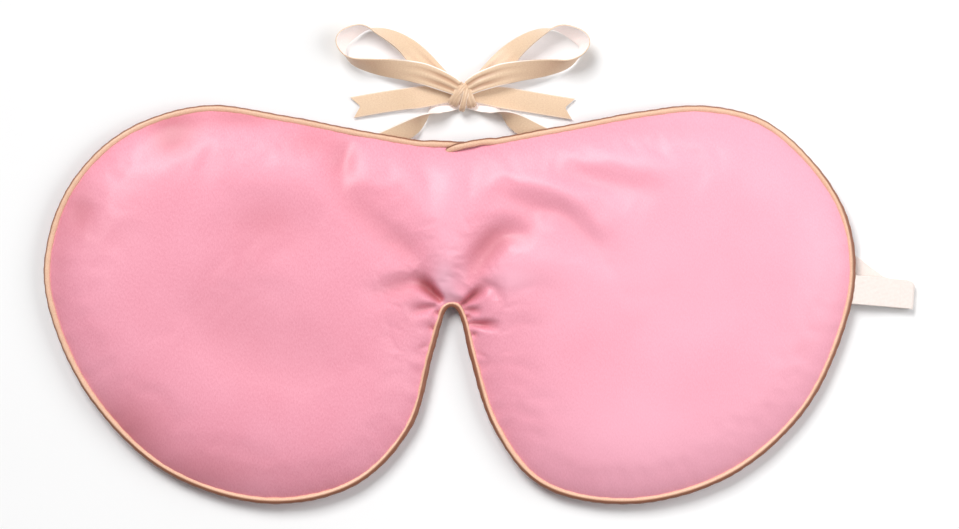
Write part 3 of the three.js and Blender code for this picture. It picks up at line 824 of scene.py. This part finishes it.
def elastic_right():
    """The right elastic: out from the seam to the tab, folded over, and back under the mask."""
    fold_across = polar(TAB_FOLD_BEARING)
    outward = polar(TAB_FOLD_BEARING - 90)
    fold_width = ELASTIC_WIDTH / math.sin(math.radians(TAB_FOLD_BEARING - TAB_BEARING))
    upright = ELASTIC_WIDTH / math.cos(math.radians(TAB_BEARING))
    slope = math.tan(math.radians(TAB_BEARING))
    xs = np.linspace(SEAM_END_FROM, SEAM_END_TO, 12)
    down = SEAM_END_DROP * smooth_step((xs - SEAM_END_FROM) / (SEAM_END_TO - SEAM_END_FROM))
    seam_end = np.column_stack([xs, TAB_FOLD[1] + (xs - TAB_FOLD[0]) * slope, SEAM_END_Z - down])
    top = band("elastic_right_seam_end", seam_end, np.tile((0.0, 1.0, 0.0), (len(xs), 1)), upright,
               ELASTIC_THICK, [ELASTIC])
    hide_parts("elastic_right_root")
    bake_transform(top)
    flat = [TAB_FOLD + (-gap, -gap * slope, TAB_TOP_Z) for gap in (2.2, 1.8, 1.3, 0.8, 0.4)]
    angles = np.radians(np.linspace(90, -90, 11))
    turn = [TAB_FOLD + outward * FOLD_RADIUS * math.cos(a)
            + (0, 0, TAB_TOP_Z - FOLD_RADIUS + FOLD_RADIUS * math.sin(a)) for a in angles]
    under = [TAB_FOLD[:2], (120, 2.9), (115.5, 4.1), (111, 7.3), (106, 11.0), (98, 14.5)]
    under += [(TAB_FOLD + polar(RIGHT_BEARING) * run)[:2] for run in (40, RIGHT_RUN)]
    back = respaced(catmull_rom([(x, y, UNDER_Z) for x, y in under], 10), 2.4)[1:]
    middle = np.array([seam_end[-1], *flat, *turn, *back])
    back_across = np.cross(directions(back), (0, 0, 1.0))
    across = np.array([(0, 1.0, 0)] * (1 + len(flat)) + [fold_across] * len(turn) + [*back_across])
    width = np.array([upright] * (1 + len(flat)) + [fold_width] * len(turn) + [ELASTIC_WIDTH] * len(back))
    # The folded end's upper corner is rounded off by trimming that edge towards the fold.
    reach = (middle - TAB_FOLD) @ outward + CORNER_RADIUS - FOLD_RADIUS
    trim = CORNER_RADIUS - np.sqrt(np.maximum(CORNER_RADIUS ** 2 - np.clip(reach, 0, None) ** 2, 0))
    middle -= across * (trim / 2)[:, None]
    rest = band("elastic_right_band", middle, across, width - trim, ELASTIC_THICK, [ELASTIC])
    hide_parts("elastic_right")
    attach(rest, "strap_right")


def elastic_left():
    """The left elastic: down from the seam and on under the mask."""
    rise = math.tan(math.radians(LEFT_BEARING))
    xs = np.concatenate([np.linspace(LEFT_START[0], -97, 12), np.linspace(-92, LEFT_END, 9)])
    out = xs - LEFT_START[0]
    heights = UNDER_Z + LEFT_RISE * (1 - smooth_step(out / 7))
    middle = np.column_stack([xs, LEFT_START[1] + out * rise, heights])
    obj = band("elastic_left_band", middle, np.tile((0.0, 1.0, 0.0), (len(xs), 1)),
               ELASTIC_WIDTH / math.cos(math.radians(LEFT_BEARING)), ELASTIC_THICK, [ELASTIC])
    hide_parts("elastic_left", "elastic_left_root")
    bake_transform(obj)


W = RIBBON_WIDTH
LYING = 0.35  # the height of a ribbon's middle line on the table
LAP = 1.3  # and where the ribbon lies on its elastic


def ribbon_piece(name, node, route, pale_and_highlight=(0.3, 0.3)):
    """One length of ribbon through its rows. Its outer face starts up, and its edges may be paler: a
    selvedge with a painted highlight.
    """
    middle, across, width, pleats = rolled_ribbon(route)
    share = np.linspace(0, 1, len(middle))
    edges = [np.interp(share, *zip(*edge)) if np.ndim(edge) else edge for edge in pale_and_highlight]
    obj = band(name, middle, across, width, RIBBON_THICK, [CHAMPAGNE, CREAM], dish=0.12, pleats=pleats,
               pale_and_highlight=edges)
    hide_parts(node)
    return obj


def ribbon_legs():
    """Each leg lies flat under the mask and turns over beside the knot, where its reverse shows."""
    start = TAB_FOLD + polar(RIGHT_BEARING) * (RIGHT_RUN - ELASTIC_LAP)
    end = TAB_FOLD + polar(RIGHT_BEARING) * (RIGHT_RUN + 1)
    right = [
        (start[0], start[1], LAP, 0, W), (end[0], end[1], LAP, 0, W), (60, 29.6, LYING, 0, W),
        (44, 36.4, LYING, 0, W), (31, 42.4, 0.6, -10, W), (24.6, 45.4, 1.3, -4, 5.7),
        (18.8, 48.6, 2.2, -18, 5.4), (14.4, 51.4, 2.5, -64, 4.8), (11.0, 53.1, 1.95, -128, 4.6),
        (7.6, 54.5, 1.0, -162, 4.6), (4.0, 55.4, 0.8, -174, 4.4),
    ]
    # Its first edge carries a painted highlight, its second only a paler selvedge.
    leg = ribbon_piece("ribbon_leg_right_satin", "ribbon_leg_right", right, pale_and_highlight=(0.9, 0.3))
    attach(leg, "strap_right")
    rise = math.tan(math.radians(LEFT_BEARING))
    left = []
    for x in (LEFT_END - ELASTIC_LAP, LEFT_END + 1):
        left.append((x, LEFT_START[1] + (x - LEFT_START[0]) * rise, LAP, 0, W))
    left += [
        (-42, 34.9, LYING, 0, W), (-27, 41.0, 0.6, 10, W), (-19.6, 43.8, 1.3, 4, 5.7),
        (-13.0, 47.0, 2.2, 20, 5.4), (-7.8, 50.6, 2.5, 66, 4.8), (-4.6, 52.9, 1.95, 128, 4.6),
        (-1.4, 54.5, 1.0, 162, 4.6), (1.8, 55.4, 0.8, 174, 4.4),
    ]
    # Its second edge carries a painted highlight, its first only a paler selvedge.
    leg = ribbon_piece("ribbon_leg_left_satin", "ribbon_leg_left", left, pale_and_highlight=(0.3, 0.9))
    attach(leg, "strap_left")


# The loops' rows, from the knot out along the upper band, round the far turn and back along the lower one.
LOOP_LEFT = [
    (1.4, 58.4, 3.0, 8, 3.0, 0.3), (-1.6, 60.2, 2.3, 12, 4.2, 0.3), (-8, 66, 2.2, 16, W, 0.1),
    (-14, 71.2, 2.9, 42, W), (-20, 74.1, 3.4, 70, W), (-25.4, 74.7, 3.5, 112, W),
    (-29.4, 72.4, 3.5, 128, W), (-29.7, 68.9, 3.5, 104, W), (-27.0, 66.0, 3.5, 76, W),
    (-20.5, 64.5, 3.6, 48, W), (-12, 63.4, 4.1, 20, W, 0.04), (-6.4, 62.0, 4.4, 6, W, 0.18),
    (-1.9, 60.2, 4.5, 4, 5.2, 0.36), (1.3, 58.6, 4.0, 0, 4.2, 0.4),
]
LOOP_RIGHT = [
    (4.4, 58.6, 3.0, -8, 3.0, 0.3), (7.2, 60.4, 2.3, -12, 4.2, 0.3), (12.6, 65.2, 2.2, -16, W, 0.1),
    (18.4, 70.4, 2.9, -40, W), (24.4, 73.9, 3.4, -70, W), (30.4, 74.6, 3.5, -112, W),
    (34.9, 72.2, 3.5, -128, W), (35.4, 68.8, 3.5, -104, W), (32, 65.6, 3.5, -76, W),
    (26, 64.3, 3.6, -46, W), (17.4, 63.2, 4.1, -20, W, 0.04), (12.1, 62.0, 4.4, -6, W, 0.18),
    (7.5, 60.4, 4.5, -4, 5.2, 0.36), (4.4, 58.8, 4.0, 0, 4.2, 0.4),
]
# The paleness of the loops' two edges at shares of the way along: a slightly paler selvedge everywhere, and
# a painted highlight where it rises to full.
LOWER_LIGHT = [(0, 0.1), (0.72, 0.1), (0.78, 1), (1, 1)]
OUTER_LIGHT = [(0, 0.1), (0.80, 0.1), (0.86, 0.9), (1, 0.9)]

TAIL_LEFT = [
    (1.6, 57.0, 2.4, 0, 3.2), (-2.0, 57.0, 2.1, 0, 4.6), (-8, 56.4, 1.5, 3, W), (-14, 55.7, 0.9, -3, W),
    (-20, 54.8, 0.6, 2, W), (-27.4, 53.5, 0.35, 0, W),
]
TAIL_RIGHT = [
    (4.2, 57.0, 2.4, 0, 3.2), (7.6, 56.9, 2.1, 0, 4.6), (13.4, 56.2, 1.5, -3, W), (20, 55.2, 0.9, 3, W),
    (26, 54.2, 0.6, -2, W), (32.9, 53.1, 0.35, 0, W),
]
TAIL_NOTCH = 2.4  # the depth of the V cut
TAIL_NOTCH_FROM = 6  # the cloth is drawn back over this length before the tip


def at_knot(obj):
    """Bakes the piece's placement into its mesh."""
    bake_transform(obj)


def bow_loops():
    left = ribbon_piece("bow_loop_left_satin", "bow_loop_left", LOOP_LEFT, (OUTER_LIGHT, LOWER_LIGHT))
    at_knot(left)
    right = ribbon_piece("bow_loop_right_satin", "bow_loop_right", LOOP_RIGHT, (LOWER_LIGHT, OUTER_LIGHT))
    at_knot(right)


def bow_tail(name, node, route):
    """A ribbon end with a V cut out of it."""
    obj = ribbon_piece(name, node, route)
    tip = np.array(route[-1][:3])
    before = np.array(route[-2][:3])
    out = (tip - before) / np.linalg.norm(tip - before)
    side = np.cross((0, 0, 1.0), out)
    for vertex in obj.data.vertices:
        place = np.array(vertex.co) / MM - ORIGIN
        along = (place - tip) @ out
        aside = abs((place - tip) @ side)
        if along > -TAIL_NOTCH_FROM:
            deep = TAIL_NOTCH * (1 - aside / (RIBBON_WIDTH / 2))
            pull = deep * (along + TAIL_NOTCH_FROM) / TAIL_NOTCH_FROM
            vertex.co = Vector(((place - out * max(pull, 0)) + ORIGIN) * MM)
    at_knot(obj)


def bow_tails():
    bow_tail("bow_tail_left_satin", "bow_tail_left", TAIL_LEFT)
    bow_tail("bow_tail_right_satin", "bow_tail_right", TAIL_RIGHT)


# The knot's turns: the middle of each, its bearing, width, how far out it lies and the paleness of its
# edges, a paler selvedge with a painted highlight.
WRAPS = [
    ((-1.5, 0.3), 64, 3.0, 1.0, (0.5, 0.1)), ((1.5, -0.1), 108, 2.7, 1.0, (0.2, 0.2)),
    ((-0.9, 0.6), 52, 1.5, 1.1, (0.9, 0.2)), ((0.5, -0.5), 76, 1.8, 1.2, (0.9, 0.9)),
]
WRAP_POINTS = 25
WRAP_THICK = 0.3
WRAP_REACH = 3.0  # half the knot's length along a turn
WRAP_RISE = 1.85
WRAP_DROP = 0.3  # the turns' and the core's middles lie this far below the knot's joints
CORE_RADII = (2.3, 3.0, 1.7)
CORE_DROP = 0.2


def knot_core():
    """A rounded core, so that no gap shows between the turns."""
    rows, columns = 12, 20
    steep = np.repeat(np.linspace(0, math.pi, rows + 1), columns)
    turn = np.tile(np.linspace(0, 2 * math.pi, columns, endpoint=False), rows + 1)
    ball = np.stack([np.sin(steep) * np.cos(turn), np.cos(steep), np.sin(steep) * np.sin(turn)], axis=1)
    core_points = KNOT + ball * CORE_RADII - (0, 0, CORE_DROP)
    faces = []
    for i in range(rows):
        for j in range(columns):
            k = (j + 1) % columns
            here, after = i * columns, (i + 1) * columns
            faces.append((here + j, here + k, after + k, after + j))
    core = make_mesh("bow_knot_core", core_points, faces, uvs=core_points[:, :2])
    work = bmesh.new()
    work.from_mesh(core.data)
    bmesh.ops.remove_doubles(work, verts=work.verts, dist=1e-7)
    work.to_mesh(core.data)
    work.free()
    face_outward(core)
    core.data.materials.append(CHAMPAGNE)
    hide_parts("bow_knot")
    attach(core, "strap_right")


def bow_knot():
    """The knot's core with the ribbon wrapped over it, each turn narrowed and pleated."""
    knot_core()
    for index, ((x, y), bearing, width, lift, pale_and_highlight) in enumerate(WRAPS):
        angle = np.radians(np.linspace(-25, 205, WRAP_POINTS))
        out = polar(bearing)
        middle = np.array([KNOT + (x, y, -WRAP_DROP) + out * WRAP_REACH * lift * math.cos(a)
                           + (0, 0, WRAP_RISE * lift * math.sin(a)) for a in angle])
        side = np.cross((0, 0, 1.0), out)
        pinch = width * (0.82 + 0.18 * np.abs(np.cos(angle)))
        obj = band(f"bow_knot_wrap_{index + 1}", middle, np.tile(side, (WRAP_POINTS, 1)), pinch, WRAP_THICK,
                   [CREAM, CHAMPAGNE], dish=-0.35, pleats=0.10, pale_and_highlight=pale_and_highlight)
        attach(obj, "strap_right")


def free_lengths():
    """Gathers the names of the knot's pieces; nothing uses them."""
    knot_pieces = ["bow_tail_left_satin", "bow_tail_right_satin", "bow_knot_core"]
    knot_pieces += [f"bow_knot_wrap_{index + 1}" for index in range(len(WRAPS))]


# ---- Stage, light and camera, in metres ----

FLOOR_SIZE = 6
FLOOR_Z = -0.0003
KEY_PLACE = (-0.80, 1.40, 1.95)
KEY_SIZE = 1.15
KEY_POWER = 54
FILL_PLACE = (0.52, 0.05, 0.48)
FILL_SIZE = 0.5
FILL_POWER = 2.3
BRIGHT_SIDE = (0.86, 0.30, 0.40)  # the room is brightest in this direction
ROOM_DIM = 0.14
ROOM_BRIGHT = 0.30
CAMERA_MIDDLE = (0.0081, 0.0109)
CAMERA_DISTANCE = 1.2
SEEN_WIDTH = 0.2608  # the width of the floor that the camera sees


def floor():
    bpy.ops.mesh.primitive_plane_add(size=FLOOR_SIZE, location=(0, 0, FLOOR_Z))
    obj = bpy.context.object
    obj.name = "floor"
    obj.data.materials.append(plain_floor())


def area_light(name, place, size, power):
    """A square soft light aimed at the middle of the frame."""
    data = bpy.data.lights.new(name, "AREA")
    data.size = size
    data.energy = power
    obj = bpy.data.objects.new(name, data)
    obj.location = place
    obj.rotation_euler = (-Vector(place)).to_track_quat("-Z", "Y").to_euler()
    bpy.context.scene.collection.objects.link(obj)


def camera():
    """Straight above the mask."""
    data = bpy.data.cameras.new("camera")
    data.sensor_width = 36
    data.lens = data.sensor_width * CAMERA_DISTANCE / SEEN_WIDTH
    data.clip_end = 20
    obj = bpy.data.objects.new("camera", data)
    obj.location = (*CAMERA_MIDDLE, CAMERA_DISTANCE)
    bpy.context.scene.collection.objects.link(obj)
    bpy.context.scene.camera = obj


def studio_world():
    """A plain room that is brighter towards the right of the mask."""
    world = bpy.data.worlds.new("studio")
    world.use_nodes = True
    tree = world.node_tree
    place = tree.nodes.new("ShaderNodeTexCoord")
    side = tree.nodes.new("ShaderNodeVectorMath")
    side.operation = "DOT_PRODUCT"
    side.inputs[1].default_value = BRIGHT_SIDE
    tree.links.new(place.outputs["Generated"], side.inputs[0])
    spread = tree.nodes.new("ShaderNodeMapRange")
    spread.inputs["From Min"].default_value = -0.9
    spread.inputs["From Max"].default_value = 0.9
    spread.inputs["To Min"].default_value = ROOM_DIM
    spread.inputs["To Max"].default_value = ROOM_BRIGHT
    tree.links.new(side.outputs["Value"], spread.inputs["Value"])
    tree.nodes["Background"].inputs["Color"].default_value = (1.0, 1.0, 1.0, 1.0)
    tree.links.new(spread.outputs["Result"], tree.nodes["Background"].inputs["Strength"])
    bpy.context.scene.world = world


padded_mask()
piping()
elastic_right()
elastic_left()
ribbon_legs()
bow_loops()
bow_tails()
bow_knot()
free_lengths()

floor()
area_light("key", KEY_PLACE, KEY_SIZE, KEY_POWER)
area_light("fill", FILL_PLACE, FILL_SIZE, FILL_POWER)
studio_world()
bpy.context.scene.view_settings.view_transform = "Standard"
camera()
